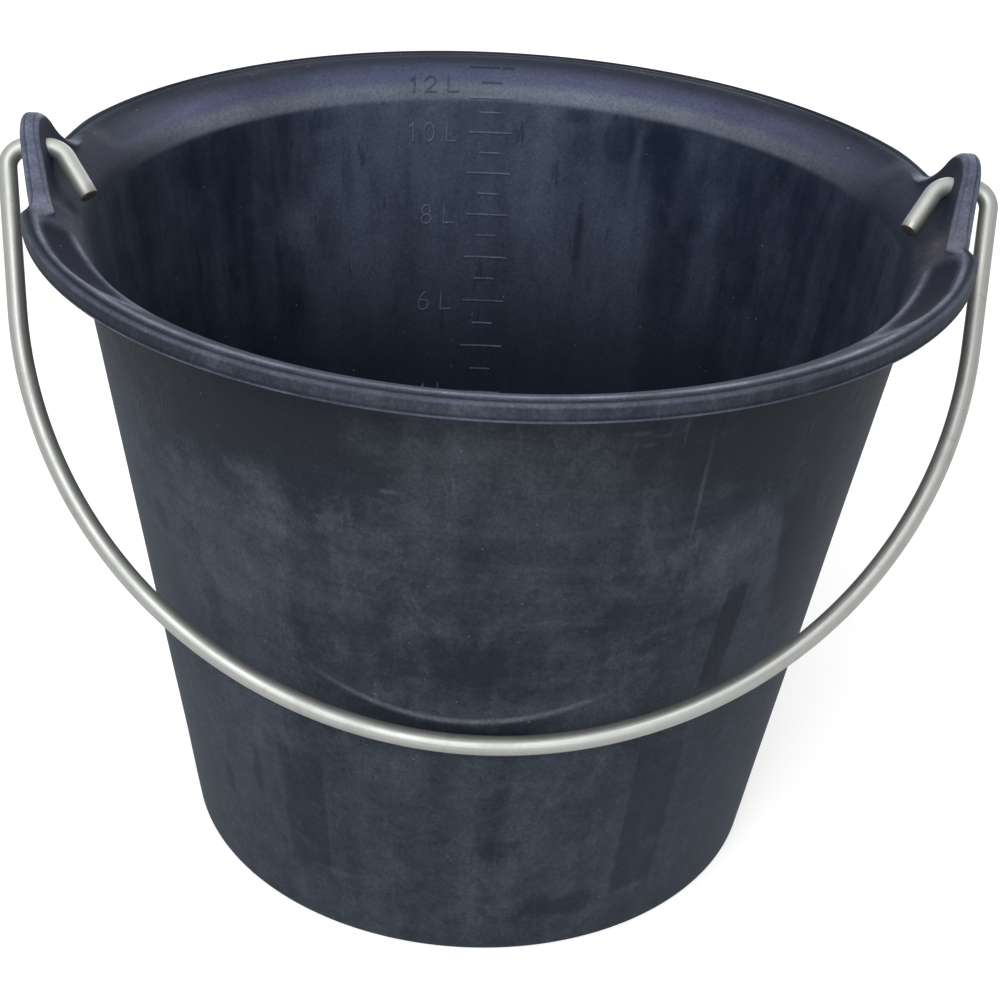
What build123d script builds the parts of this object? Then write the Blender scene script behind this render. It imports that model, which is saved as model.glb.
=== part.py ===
from build123d import *
import math
import os

# A rubber builder's bucket with a wire bail. Millimetres, +Z up, origin on the floor under the middle of the
# base. The two lugs stand on the X axis, and the bail hangs against the wall on the -Y side.

# Outside of the moulding
rim_height = 248.0
rim_radius = 163.0
rim_overhang = 16.5  # from the rim's edge in to the wall below it
wall_draft = 8.577  # degrees, how much the wall opens upwards

# Rim: a band of constant height, a shallow gutter on top and a rounded flare down to the inside
band_height = 6.0
land_width = 6.0
gutter_depth = 0.4
flare_depth = 13.0
flare_bulge = 2.1
band_edge = 1.2
land_edge = 1.5
neck_chamfer = 3.5

# Wall and base
wall_at_flare = 4.0
wall_at_floor = 5.0
base_thickness = 8.0
foot_recess = 3.0
foot_width = 10.0
foot_slope = 1.5  # how far the foot's inner face leans in, so that it leaves the mould
base_edge = 3.0
floor_fillet = 10.0

# Lugs: leaning tabs, bowed more than the rim, with a round tip and a foot that spreads along the rim
lug_bow = 120.0  # radius of a lug's outer face seen from above, at rim level
lug_setback = 2.0  # from the rim's edge in to the lug's outer face, at rim level
lug_thickness = 7.5  # at rim level
lug_tip_thickness = 6.3
lug_lean = 9.0  # degrees, both lugs lean outwards
lug_height = 20.0  # above the rim
lug_tip_radius = 13.5
lug_edge = 2.0
spread_radius = 33.0  # of the hollow curve from the tip down to the rim
spread_depth = 0.3  # below the rim, where that curve runs out level
gusset_rise = 4.5  # where the lug's inner face starts to run out into the flare
gusset_run = 3.5
gusset_fillet = 8.0
bore_height = 8.5  # centre of the lug's hole above the rim

# Reliefs in the rim's edge outside the lugs, flush with the lugs, where the bail's arms swing past
relief_half_length = 39.0  # along the rim
relief_corner = 8.0

# Hollows in the flare on both sides of each lug: part of a tilted ring, so they run out at their ends
hollow_turn = 25.5  # degrees round the rim from the middle of the lug
hollow_bead = 4.0  # what stays standing of the rim outside the hollow
hollow_width = 13.0  # seen from above
hollow_drop = 6.7  # from the rim down to the hollow's inner edge
hollow_rounding = 40.0  # radius across the hollow
hollow_ring = 135.0  # radius along the hollow
hollow_tilt = 26.0  # degrees

# Bail
wire_diameter = 6.5
bore_clearance = 0.5  # radial, round the wire in the lug's hole
arm_inset = 0.5  # from the lug's outer face into the hole, where the wire starts to bend
arm_bend = 7.0  # radius of the wire's centre line outside the lugs
arm_drop = 34.8  # from the pivot axis to the centre of the bow
bail_splay = 8.0  # degrees, how much the arms open towards the lugs
hook_inset = 0.5  # from the lug's inner face into the hole, where the wire starts to bend
hook_bend = 8.0  # radius of the wire's centre line inside the lugs
hook_turn = 57.0  # degrees, from the pivot axis to the hooked end
hook_length = 15.8  # straight part of the hooked end
wall_clearance = 0.4  # between the hanging bow and the wall


def tangent(degrees):
    return math.tan(math.radians(degrees))


# Levels and sizes that follow from those above
neck_height = rim_height - band_height
neck_radius = rim_radius - rim_overhang
base_radius = neck_radius - neck_height * tangent(wall_draft)
crease_height = rim_height - flare_depth
floor_height = foot_recess + base_thickness
lug_root = band_height * 5 / 6  # how deep a lug's own solid goes into the rim
bore_radius = wire_diameter / 2 + bore_clearance
pivot_height = rim_height + bore_height


def wall_outside(height):
    """Radius of the outer wall at a height."""
    return base_radius + height * tangent(wall_draft)


def lug_outside(rise):
    """Radius of a lug's outer face at a height above the rim."""
    return rim_radius - lug_setback + rise * tangent(lug_lean)


def lug_inside(rise):
    """Radius of a lug's inner face at a height above the rim; the lug thins evenly to its tip."""
    thinning = (lug_thickness - lug_tip_thickness) * rise / lug_height
    return lug_outside(rise) - lug_thickness + thinning


# A lug is part of a ring about an axis of its own, this far from the middle of the bucket
lug_axis = lug_outside(0) - lug_bow


def round_corner(face, corner, radius):
    """The face with the corner nearest to a point rounded."""
    return fillet(face.vertices().sort_by_distance(corner)[0], radius)


def moulding_section():
    """Half section of the moulding, radius across and height up, with its corners rounded or bevelled."""
    recess_edge = (base_radius - foot_width - foot_slope, foot_recess)
    foot_inner = (base_radius - foot_width, 0)
    foot_outer = (base_radius, 0)
    neck = (neck_radius, neck_height)
    band_bottom = (rim_radius, neck_height)
    band_top = (rim_radius, rim_height)
    land_inner = (rim_radius - land_width, rim_height)
    crease = (wall_outside(crease_height) - wall_at_flare, crease_height)
    floor_corner = (wall_outside(floor_height) - wall_at_floor, floor_height)
    outline = [
        Polyline((0, foot_recess), recess_edge, foot_inner, foot_outer, neck, band_bottom, band_top),
        SagittaArc(band_top, land_inner, gutter_depth),
        SagittaArc(land_inner, crease, -flare_bulge),
        Polyline(crease, floor_corner, (0, floor_height), (0, foot_recess)),
    ]
    rounding = [
        (foot_outer, base_edge),
        (band_top, band_edge),
        (land_inner, land_edge),
        (floor_corner, floor_fillet),
    ]
    section = make_face(outline)
    for corner, radius in rounding:
        section = round_corner(section, corner, radius)
    return chamfer(section.vertices().sort_by_distance(neck)[0], neck_chamfer)


def hollow_cutters():
    """Four tilted rings that dish the flare beside the lugs and leave the rim's outer bead standing."""
    across = Vector(hollow_width, 0, hollow_drop)
    outer = Vector(rim_radius - hollow_bead, 0, rim_height)
    rise = math.sqrt(hollow_rounding**2 - across.length**2 / 4)
    centre = outer - across / 2 + Vector(-hollow_drop, 0, hollow_width).normalized() * rise
    ring = Rot(0, hollow_tilt, 0) * Pos(-hollow_ring, 0, 0) * Torus(hollow_ring, hollow_rounding)
    turns = (hollow_turn, -hollow_turn, 180 + hollow_turn, 180 - hollow_turn)
    return [Rot(0, 0, turn) * Pos(*centre) * ring for turn in turns]


def relief_cutters():
    """Two blocks outside the lugs, each with a round inner face and two rounded corners."""
    middle = lug_outside(-lug_root)
    end = lug_axis + math.sqrt((middle - lug_axis) ** 2 - relief_half_length**2)
    corners = [Vector(end, -relief_half_length), Vector(end, relief_half_length)]
    ends = [corner * 1.2 for corner in corners]
    outline = [
        ThreePointArc(corners[0], (middle, 0), corners[1]),
        Polyline(corners[1], ends[1], ends[0], corners[0]),
    ]
    plan = make_face(outline)
    for corner in corners:
        plan = round_corner(plan, corner, relief_corner)
    block = Pos(0, 0, neck_height - band_height / 2) * extrude(plan, amount=band_height * 2)
    return [block, Rot(0, 0, 180) * block]


def lug_ring():
    """A leaning ring about the lug's own axis with the section of the lug and its gusset."""
    tip = lug_height + lug_edge
    gusset_top = (lug_inside(gusset_rise), gusset_rise)
    outline = Polyline(
        gusset_top,
        (lug_inside(gusset_rise) - gusset_run, -lug_root),
        (lug_outside(-lug_root), -lug_root),
        (lug_outside(tip), tip),
        (lug_inside(tip), tip),
        close=True,
    )
    section = round_corner(make_face(outline), gusset_top, gusset_fillet)
    return Pos(lug_axis) * revolve(Plane.YZ * Pos(-lug_axis, rim_height) * section, Axis.Z)


def lug_arch():
    """Front view of a lug with the rim's level at zero: a round tip between two hollow curves."""
    tip_centre = lug_height - lug_tip_radius
    spread_up = spread_radius - spread_depth - tip_centre
    spread_across = math.sqrt((lug_tip_radius + spread_radius) ** 2 - spread_up**2)
    share = lug_tip_radius / (lug_tip_radius + spread_radius)
    touch = (spread_across * share, tip_centre + spread_up * share)
    half_turn = (math.atan2(-spread_up, -spread_across) - math.pi / 2) / 2
    middle_across = spread_across + spread_radius * math.cos(half_turn)
    middle_up = spread_radius - spread_depth + spread_radius * math.sin(half_turn)
    foot = (spread_across, -spread_depth)
    outline = [
        ThreePointArc((-touch[0], touch[1]), (0, lug_height), touch),
        ThreePointArc(touch, (middle_across, middle_up), foot),
        Polyline(foot, (foot[0], -lug_root), (-foot[0], -lug_root), (-foot[0], foot[1])),
        ThreePointArc((-foot[0], foot[1]), (-middle_across, middle_up), (-touch[0], touch[1])),
    ]
    return make_face(outline)


def lug_pair():
    """Both lugs: the ring cut to the arch along the X axis, with its edges rounded."""
    prism = extrude(Plane.YZ * Pos(0, rim_height) * lug_arch(), amount=rim_radius * 2)
    lug = lug_ring() & prism
    standing = lug.edges().filter_by(lambda edge: edge.center().Z > rim_height)
    lug = fillet(standing, lug_edge)
    return [lug, Rot(0, 0, 180) * lug]


def make_bucket_body():
    """The one-piece moulding: a revolved shell with hollows, reliefs, two lugs and their holes."""
    shell = revolve(Plane.YZ * moulding_section(), Axis.Z) - hollow_cutters() - relief_cutters()
    bore = extrude(Plane.YZ * Pos(0, pivot_height) * Circle(bore_radius), amount=rim_radius * 2, both=True)
    return shell + lug_pair() - bore


def bail_line():
    """Corners and bend radii of the bail's centre line in its own plane, from hook to hook.

    The first number of a corner runs along the pivot axis and the second one away from it towards the bow.
    """
    arm_across = lug_outside(bore_height) - arm_inset + arm_bend * tangent((90 + bail_splay) / 2)
    hook_reach = hook_bend * tangent(hook_turn / 2)
    hook_across = lug_inside(bore_height) + hook_inset - hook_reach
    hook_run = hook_length + hook_reach
    turn = math.radians(hook_turn)
    hook_end = (hook_across - hook_run * math.cos(turn), hook_run * math.sin(turn))
    bow_corner = (0, arm_across / tangent(bail_splay))
    right = [(arm_across, 0), (hook_across, 0), hook_end]
    left = [(-across, down) for across, down in reversed(right)]
    splay = math.radians(bail_splay)
    bow_radius = arm_across * math.cos(splay) - arm_drop * math.sin(splay)
    return left + [bow_corner] + right, [hook_bend, arm_bend, bow_radius, arm_bend, hook_bend]


def bail_rest_angle(reach):
    """Degrees below level at which the bow just clears the outside of the wall, for a bail of this reach."""
    axis_to_wall = wall_outside(pivot_height) * math.cos(math.radians(wall_draft))
    stand_off = wire_diameter / 2 + wall_clearance
    return wall_draft + math.degrees(math.acos((axis_to_wall + stand_off) / reach))


def make_wire_bail():
    """The bail: one round wire swept along its bent centre line, hanging against the wall."""
    corners, radii = bail_line()
    bow_radius = radii[2]
    rest = math.radians(bail_rest_angle(arm_drop + bow_radius))
    hanging = Plane(origin=(0, 0, pivot_height), x_dir=(1, 0, 0), z_dir=(0, math.sin(rest), -math.cos(rest)))
    centre_line = hanging * FilletPolyline(*corners, radius=radii)
    start = Plane(origin=centre_line @ 0, z_dir=centre_line % 0)
    return sweep(start * Circle(wire_diameter / 2), path=centre_line)


os.makedirs("parts", exist_ok=True)
export_step(make_bucket_body(), "parts/bucket_body.step")
export_step(make_wire_bail(), "parts/wire_bail.step")
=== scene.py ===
import bpy
import numpy as np
from mathutils import Matrix, Vector


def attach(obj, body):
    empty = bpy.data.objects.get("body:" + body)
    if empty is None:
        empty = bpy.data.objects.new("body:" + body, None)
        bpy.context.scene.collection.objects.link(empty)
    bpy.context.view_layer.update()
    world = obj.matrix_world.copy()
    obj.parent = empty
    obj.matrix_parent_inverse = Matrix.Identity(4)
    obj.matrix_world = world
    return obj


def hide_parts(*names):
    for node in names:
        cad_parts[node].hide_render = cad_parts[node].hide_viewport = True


# A black rubber builder's bucket with a galvanised wire bail. Shapes are worked out in millimetres and written into
# the meshes in metres. The sizes are those of the CAD model, but the base edge and the rim's gutter and bead are
# finer, and the reliefs and hollows run out more softly beside the lugs.

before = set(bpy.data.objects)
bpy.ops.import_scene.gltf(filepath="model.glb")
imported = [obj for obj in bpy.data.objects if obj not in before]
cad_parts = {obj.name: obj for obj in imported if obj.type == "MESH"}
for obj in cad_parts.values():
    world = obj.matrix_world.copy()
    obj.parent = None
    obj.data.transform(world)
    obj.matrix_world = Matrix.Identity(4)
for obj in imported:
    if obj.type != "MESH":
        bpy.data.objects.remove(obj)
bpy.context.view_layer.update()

METRE = 0.001  # a millimetre in metres
LITRE = 1e-6  # a cubic millimetre in litres

# Moulding
rim_height = 248.0
rim_radius = 163.0
base_radius = 110.0
draft = np.radians(8.577)
base_edge = 1.6
foot_width = 10.0
foot_recess = 3.0
foot_slope = 1.5
wall_start = 6.0  # the outer wall is straight from here to wall_end
wall_end = 232.0
wall_unevenness = 0.35  # how far the outer wall dips in at most
dips_start = 8.0
dips_fade = 30.0
neck_fillet = 4.0
band_height = 6.0
band_lower_edge = 0.8
band_upper_edge = 1.2
gutter_depth = 0.5
bead_start = 0.55  # share of the land, from its outer edge, where the gutter ends and the bead starts
bead_top = 0.78
bead_drop = 0.25  # from the bead's top down to the land's inner edge
land_inner_radius = 157.0
rim_turn_radius = 155.5  # where the land has turned down into the flare
flare_bulge = 2.1
flare_root_radius = 149.0  # where a lug's gusset runs out into the flare
flare_end_radius = 144.0  # where the flare starts to turn down into the wall
crease_radius = 141.443
crease_height = 235.0
crease_end = 228.0  # where the turn from the flare has become the wall
inner_wall_top = 222.0  # rows of points on the straight inner wall
inner_wall_bottom = 28.0
floor_height = 11.0
floor_radius = 106.659
floor_fillet = 10.0
floor_margin = 10.0  # from the fillet to the next ring of points
middle_ring = 12.0  # radius of the last ring of points before the middle of the floor or of the underside

# Lugs
lug_circle = 157.5
lug_lean = np.tan(np.radians(9.0))
lug_setback = 2.0
lug_thickness = 7.5
lug_thinning = 1.2 / 20.0
lug_height = 20.0
lug_tip_radius = 13.5
lug_edge = 2.0
lug_edge_growth = 0.6  # how fast the rounding of a lug's inner edge grows with its rise, up to lug_edge
lug_edge_start = 1.3
lug_axis = 41.0  # from the middle of the bucket to the axis that a lug is bowed about
lug_foot_outside = 35.0  # from the middle of a lug to the end of its foot, at the foot's outer edge
lug_foot_inside = 41.5
lug_foot_fade = 4.5
lug_foot_back_fade = 17.0
gusset_drop = 0.85  # share of the way down to the flare that steers the start of a lug's gusset
gusset_run = 3.5  # length up the flare that steers its end
spread_radius = 33.0
spread_depth = 0.3
relief_full = {"right": 34.0, "left": 30.0}  # how far from a lug's middle its relief has its full depth in front
relief_end = {"right": 44.0, "left": 38.0}
relief_back_full = 15.0
relief_back_end = 60.0
bore_radius = 3.75
bore_reach = 190.0
pivot_height = 256.5

# Hollows in the flare beside the lugs
hollow_turns = np.radians([25.5, -25.5, 154.5, 205.5])
hollow_bead = 4.0
hollow_width = 13.0
hollow_drop = 6.7
hollow_rounding = 40.0
hollow_ring = 135.0
hollow_tilt = np.radians(26.0)
hollow_softness = 0.15
hollow_back_softness = 0.7
hollow_start = 7.0  # from a lug's foot to where the hollow has its full depth
hollow_back_start = 14.0
hollow_bottom = 232.0
hollow_outside = 162.0

# Bail, in its own plane: along the pivot axis and away from it
wire_radius = 3.25
bail_rest = np.radians(49.0948)
hook_end = (140.5416, 16.8939)
hook_corner = (151.5126, 0.0)
arm_corner = (169.8988, 0.0)
bow_corner = (0.0, 1208.8931)
hook_bend = 8.0
arm_bend = 7.0
bow_bend = 163.4022
wire_step = 4.0  # longest step along the wire
cut_inset = np.array([0.0, 0.1, 0.35])  # the rounding of a cut end: steps along it, and how wide the wire is there
cut_width = np.array([0.8, 0.93, 0.99])
cut_fade = 0.5

# Litre scale on the inside of the wall
scale_angle = np.radians(-0.45)  # from the back of the bucket towards +X
first_mark = 2.0
last_mark = 12.0
long_tick = 17.4
short_tick = 8.2
flare_marks = {11.0: 234.6, 11.5: 240.2, 12.0: 245.0}
flare_numeral_bottom = 236.6
flare_numeral_height = 0.675  # against the numerals on the wall
numeral_end = 13.7  # from the middle of the ticks to the right end of a numeral
numeral_pitch = 7.2
numeral_space = 2.3
numeral_size = (5.0, 8.0)
stroke_step = 1.2
ridge_half_width = 0.45
ridge_rise = 0.4
ridge_root = 0.3
ridge_ends = np.array([0.98, 0.75, 0.4])  # steps of a stroke's round end, in half widths

# How worn and how grimy the rubber is, and how much painted highlight and painted shade it has, from 0 to 1, and how
# wide that is in millimetres
rim_back_highlight = 0.05  # how much painted highlight the back of the rim has, against the front
rim_highlight_spread = 0.7
band_lower_wear = 0.6
band_upper_highlight = 0.35
bead_highlight_width = 0.19  # share of the land
turn_highlight = (0.3, 0.05)  # from the land's inner edge to where it has turned down
lug_wear_and_highlight = {"right": 0.85, "left": 1.0}
hollow_edge_highlight = 0.7
hollow_edge_width = 0.6
ridge_wear_and_highlight = 0.55
band_line_grime = 0.6
band_line_level = 0.7  # the dark line above the band's lower edge
band_line_width = 0.45
gutter_shade = 0.7
hollow_shade = 1.0
hollow_back_shade = 0.3
hollow_shade_depth = 1.2
flare_scale_shade = 0.35


def mix(first, second, share):
    """The value that lies a share of the way from the first to the second."""
    return first + (second - first) * share


def smooth_step(share):
    """Rises from 0 to 1 as the share does, level at both ends."""
    share = np.clip(share, 0, 1)
    return share * share * (3 - 2 * share)


def bell(distance, width):
    """1 at no distance, and falls off on both sides over the width as a bell curve does."""
    return np.exp(-((distance / width) ** 2))


def unit(vectors):
    """Vectors of length 1 in the same directions."""
    return vectors / np.linalg.norm(vectors, axis=-1, keepdims=True)


def steps(count, first=0.0, last=1.0):
    """Evenly spaced values as rows, to be carried across all columns."""
    return np.linspace(first, last, count)[:, None]


def ring_turns(count):
    """Evenly spaced angles once round, without the last one, which is the first again."""
    return np.linspace(0, 2 * np.pi, count + 1)[:-1]


def wall_outside(height):
    """Radius of the outer wall at a height: that of the base, and more by the draft on the way up."""
    return base_radius + height * np.tan(draft)


inner_slope = (crease_radius - floor_radius) / (crease_height - floor_height)


def wall_inside(height):
    """Radius of the inner wall at a height, on the straight line from the crease down to the floor."""
    return crease_radius + (height - crease_height) * inner_slope


def lug_outside(rise):
    """Radius of a lug's outer face in its middle: set back from the rim, and leaning out as it rises."""
    return rim_radius - lug_setback + rise * lug_lean


def lug_inside(rise):
    """Radius of a lug's inner face in its middle: in from the outer one by a thickness that lessens as it rises."""
    return lug_outside(rise) - lug_thickness + rise * lug_thinning


def bowed(radius, angle):
    """Radius, in a direction from the bucket's axis, of a circle about a lug's own axis.

    The given radius is that in the lug's middle; the circle's points are found from the two sides of a triangle
    between the two axes and the point. Far from the lugs, where it isn't used, the direction is held.
    """
    turn = np.clip(np.sin(angle), -0.4, 0.4)
    return lug_axis * np.sqrt(1 - turn**2) + np.sqrt((radius - lug_axis) ** 2 - (lug_axis * turn) ** 2)


def relief_share(angle, offset):
    """How much of its depth the relief outside a lug has: it ends short in front and runs out slowly at the back."""
    right = np.cos(angle) > 0
    full = np.where(right, relief_full["right"], relief_full["left"])
    end = np.where(right, relief_end["right"], relief_end["left"])
    front = smooth_step((end + offset) / (end - full))
    back = smooth_step((relief_back_end - offset) / (relief_back_end - relief_back_full))
    return np.where(offset < 0, front, back)


# The flare is part of a circle through the land's inner edge and the crease, with its bulge up and inwards.
flare_chord = np.array([crease_radius - land_inner_radius, crease_height - rim_height])
flare_length = np.hypot(*flare_chord)
flare_circle = (flare_length**2 / 4 + flare_bulge**2) / (2 * flare_bulge)
flare_across = np.array([flare_chord[1], -flare_chord[0]]) / flare_length
flare_centre = (
    np.array([land_inner_radius, rim_height]) + flare_chord / 2 - flare_across * (flare_circle - flare_bulge)
)


def flare_height(radius):
    """Height of the flare at a radius, on the upper half of its circle."""
    return flare_centre[1] + np.sqrt(flare_circle**2 - (radius - flare_centre[0]) ** 2)


def flare_slope(radius):
    """How fast the flare rises outwards at a radius: across the line from the circle's centre."""
    return (flare_centre[0] - radius) / (flare_height(radius) - flare_centre[1])


def lug_rise(offset):
    """Height of a lug's arch above the rim: a round tip between two hollow curves that run out on the rim."""
    across = np.abs(offset)
    tip_centre = lug_height - lug_tip_radius
    spread_up = spread_radius - spread_depth - tip_centre
    spread_across = np.sqrt((lug_tip_radius + spread_radius) ** 2 - spread_up**2)
    touch = spread_across * lug_tip_radius / (lug_tip_radius + spread_radius)
    tip = tip_centre + np.sqrt(np.clip(lug_tip_radius**2 - across**2, 0, None))
    beyond = np.clip(spread_across - across, 0, spread_radius)
    spread = spread_radius - spread_depth - np.sqrt(spread_radius**2 - beyond**2)
    return np.maximum(np.where(across < touch, tip, spread), 0)


def column_angles():
    """Angles of the columns about the axis: closest at the two lugs, close at the hollows, wider elsewhere."""
    lug_end, hollow_end = 17, 44
    near = np.linspace(-lug_end, lug_end, 110)
    hollow = np.linspace(lug_end, hollow_end, 55)[1:]
    front_and_back = np.linspace(hollow_end, 180 - hollow_end, 62)[1:-1]
    far = np.concatenate([hollow, front_and_back, 180 - hollow[::-1]])
    return np.radians(np.concatenate([near, far, near + 180, far + 180]))


def arc_rows(centre, radius, start, end, count):
    """Rows on a circle in the section, between two angles in degrees."""
    turn = np.radians(steps(count, start, end))
    return centre[0] + radius * np.cos(turn), centre[1] + radius * np.sin(turn)


def straight_rows(start, end, count):
    """Rows on a straight line in the section, each point a share of the way along it."""
    share = steps(count)
    return mix(start[0], end[0], share), mix(start[1], end[1], share)


def wall_rows(wall, start, end, count):
    """Rows on a straight wall between two heights; the wall is a function from height to radius."""
    return straight_rows((wall(start), start), (wall(end), end), count)


def outside_rows():
    """Rows from the middle of the underside over the foot and up the wall to the band's lower edge.

    Small gaps between the straight runs take the sharpness off the foot's edges.
    """
    foot_inner = base_radius - foot_width
    recess = foot_inner - foot_slope
    lean = np.degrees(draft)
    foot_centre = (wall_outside(base_edge) - base_edge / np.cos(draft), base_edge)
    neck_level = rim_height - band_height
    neck_centre = (wall_outside(neck_level - neck_fillet) + neck_fillet / np.cos(draft), neck_level - neck_fillet)
    return [
        straight_rows((middle_ring, foot_recess), (recess - 1, foot_recess), 4),
        straight_rows((recess, foot_recess - 0.3), (foot_inner - 0.2, 0.4), 3),
        straight_rows((foot_inner + 0.5, 0), (foot_centre[0] - 1, 0), 3),
        arc_rows(foot_centre, base_edge, -90, -lean, 7),
        wall_rows(wall_outside, wall_start, wall_end, 32),
        arc_rows(neck_centre, neck_fillet, 180 - lean, 90, 9),
    ]


def cubic(points, share):
    """A cubic curve from the first to the last of four control points, as radius and height."""
    weights = [(1 - share) ** 3, 3 * share * (1 - share) ** 2, 3 * share**2 * (1 - share), share**3]
    return [sum(weight * point[k] for weight, point in zip(weights, points)) for k in (0, 1)]


def crown_rows(angle):
    """Rows up the band, over the rim or a lug, and down to the flare, with the wear and painted highlight and the grime
    and painted shade of each point.

    In each column the rim is drawn up to the lug's arch there. On the plain rim the inner side follows the flare;
    on a lug it is the lug's inner face, which runs out into the flare on a smooth curve. Each run of rows is its
    radius, its height above the rim, its wear and painted highlight, how far inside it is, and its grime and painted
    shade.
    """
    offset = lug_circle * np.sin(angle)
    rise = lug_rise(offset)
    relief = relief_share(angle, offset)
    fade = np.where(offset > 0, lug_foot_back_fade, lug_foot_fade)
    # The band's upper edge, the bead and the turn into the flare carry a painted highlight, full at the front and faint
    # at the back
    front_highlight = mix(rim_back_highlight, 1.0, smooth_step(0.5 - np.sin(angle) / rim_highlight_spread))

    def foot(share):
        """1 on a lug and 0 beyond the end of its foot, which lies further out the further in the share is."""
        end = mix(lug_foot_outside, lug_foot_inside, share)
        return smooth_step((end - np.abs(offset)) / fade)

    def outer(height):
        """Outer radius at a height above the rim: the rim's, or a lug's bowed face where the relief has its depth."""
        return mix(rim_radius, bowed(lug_outside(height), angle), relief)

    inner_edge = np.minimum(lug_edge, lug_edge_growth * (rise + lug_edge_start))
    edge = mix(band_upper_edge, np.maximum(inner_edge, band_upper_edge), foot(0))
    rows = []

    # The band's rounded lower edge
    start = -band_height + band_lower_edge
    turn = steps(5, -np.pi / 2, 0)
    height = start + band_lower_edge * np.sin(turn) + 0 * rise
    rows.append((outer(height) - band_lower_edge * (1 - np.cos(turn)), height, band_lower_wear, 0.0, 0.0))

    # The band's face, or a lug's outer face
    height = mix(start, rise - edge, steps(14)[1:])
    dark_line = band_line_grime * bell(height - start - band_line_level, band_line_width)
    rows.append((outer(height), height, 0.0, 0.0, dark_line))

    # The rounded upper edge
    turn = steps(8, 0, np.pi / 2)[1:]
    height = rise - edge + edge * np.sin(turn)
    wear_and_highlight = mix(band_upper_highlight * front_highlight, 1.0, foot(0)) * np.sin(2 * turn)
    rows.append((outer(height) - edge * (1 - np.cos(turn)), height, wear_and_highlight, 0.0, 0.0))

    # The land with its gutter and bead, or a lug's top; the bead carries a painted highlight
    share = steps(12)[1:]
    lug = foot(share)
    top_end = mix(land_inner_radius, bowed(lug_inside(rise), angle) + inner_edge, lug)
    radius = mix(outer(rise) - edge, top_end, share)
    gutter = np.sin(np.pi * np.clip(share / bead_start, 0, 1)) ** 2
    bead = bead_drop * (np.clip(share - bead_top, 0, 1) / (1 - bead_top)) ** 2
    # A lug's top is rubbed lighter and carries a painted highlight, more on the left lug than on the right
    top_wear_and_highlight = np.where(np.cos(angle) < 0, lug_wear_and_highlight["left"], lug_wear_and_highlight["right"])
    wear_and_highlight = mix(front_highlight * bell(share - bead_top, bead_highlight_width), top_wear_and_highlight, lug)
    height = rise - (gutter_depth * gutter + bead) * (1 - lug)
    # The gutter is painted darker as painted shade
    rows.append((radius, height, wear_and_highlight, 0.0, gutter_shade * gutter * (1 - lug)))

    # The turn from the land into the flare, or a lug's inner edge
    turn = steps(8, np.pi / 2, 0)[1:]
    share = steps(8)[1:]
    lug = foot(1)
    lug_level = rise - inner_edge + inner_edge * np.sin(turn)
    lug_radius = bowed(lug_inside(lug_level), angle) + inner_edge * (1 - np.cos(turn))
    flare_radius = mix(land_inner_radius, rim_turn_radius, share)
    height = mix(flare_height(flare_radius) - rim_height - bead_drop * (1 - share), lug_level, lug)
    wear_and_highlight = mix(front_highlight * mix(*turn_highlight, smooth_step(share)), np.sin(2 * turn), lug)
    rows.append((mix(flare_radius, lug_radius, lug), height, wear_and_highlight, 0.5, 0.0))

    # The upper flare, or a lug's inner face and gusset
    share = steps(15)[1:]
    level = rise - inner_edge
    top = bowed(lug_inside(level), angle)
    drop = gusset_drop * np.maximum(level - flare_height(top) + rim_height, 0)
    root = flare_height(flare_root_radius) - rim_height
    up_flare = gusset_run * unit(np.array([1, flare_slope(flare_root_radius)]))
    path = [
        (top, level),
        (bowed(lug_inside(level - drop), angle), level - drop),
        (flare_root_radius + up_flare[0], root + up_flare[1]),
        (flare_root_radius, root),
    ]
    lug_radius, lug_level = cubic(path, share)
    flare_radius = mix(rim_turn_radius, flare_root_radius, share)
    height = mix(flare_height(flare_radius) - rim_height, lug_level, lug)
    rows.append((mix(flare_radius, lug_radius, lug), height, 0.0, 1.0, 0.0))

    return [(radius, height + rim_height, *marks) for radius, height, *marks in rows]


def inside_rows():
    """Rows from the flare over the soft crease and down the wall to the middle of the floor."""
    radius = mix(flare_root_radius, flare_end_radius, steps(7)[1:])
    end = np.array([flare_end_radius, flare_height(flare_end_radius)])
    slope = flare_slope(flare_end_radius)
    fall = (end[0] - wall_inside(end[1])) / (1 - slope * inner_slope)
    corner = end - fall * np.array([1, slope])
    wall = np.array([wall_inside(crease_end), crease_end])
    lean = np.arctan(inner_slope)
    fillet_level = floor_height + floor_fillet
    fillet_centre = (wall_inside(fillet_level) - floor_fillet / np.cos(lean), fillet_level)
    return [
        (radius, flare_height(radius)),
        cubic([end, mix(end, corner, 2 / 3), mix(wall, corner, 2 / 3), wall], steps(12)[1:]),
        wall_rows(wall_inside, inner_wall_top, inner_wall_bottom, 10),
        arc_rows(fillet_centre, floor_fillet, -np.degrees(lean), -90, 8),
        straight_rows((fillet_centre[0] - floor_margin, floor_height), (middle_ring, floor_height), 4),
    ]


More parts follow.
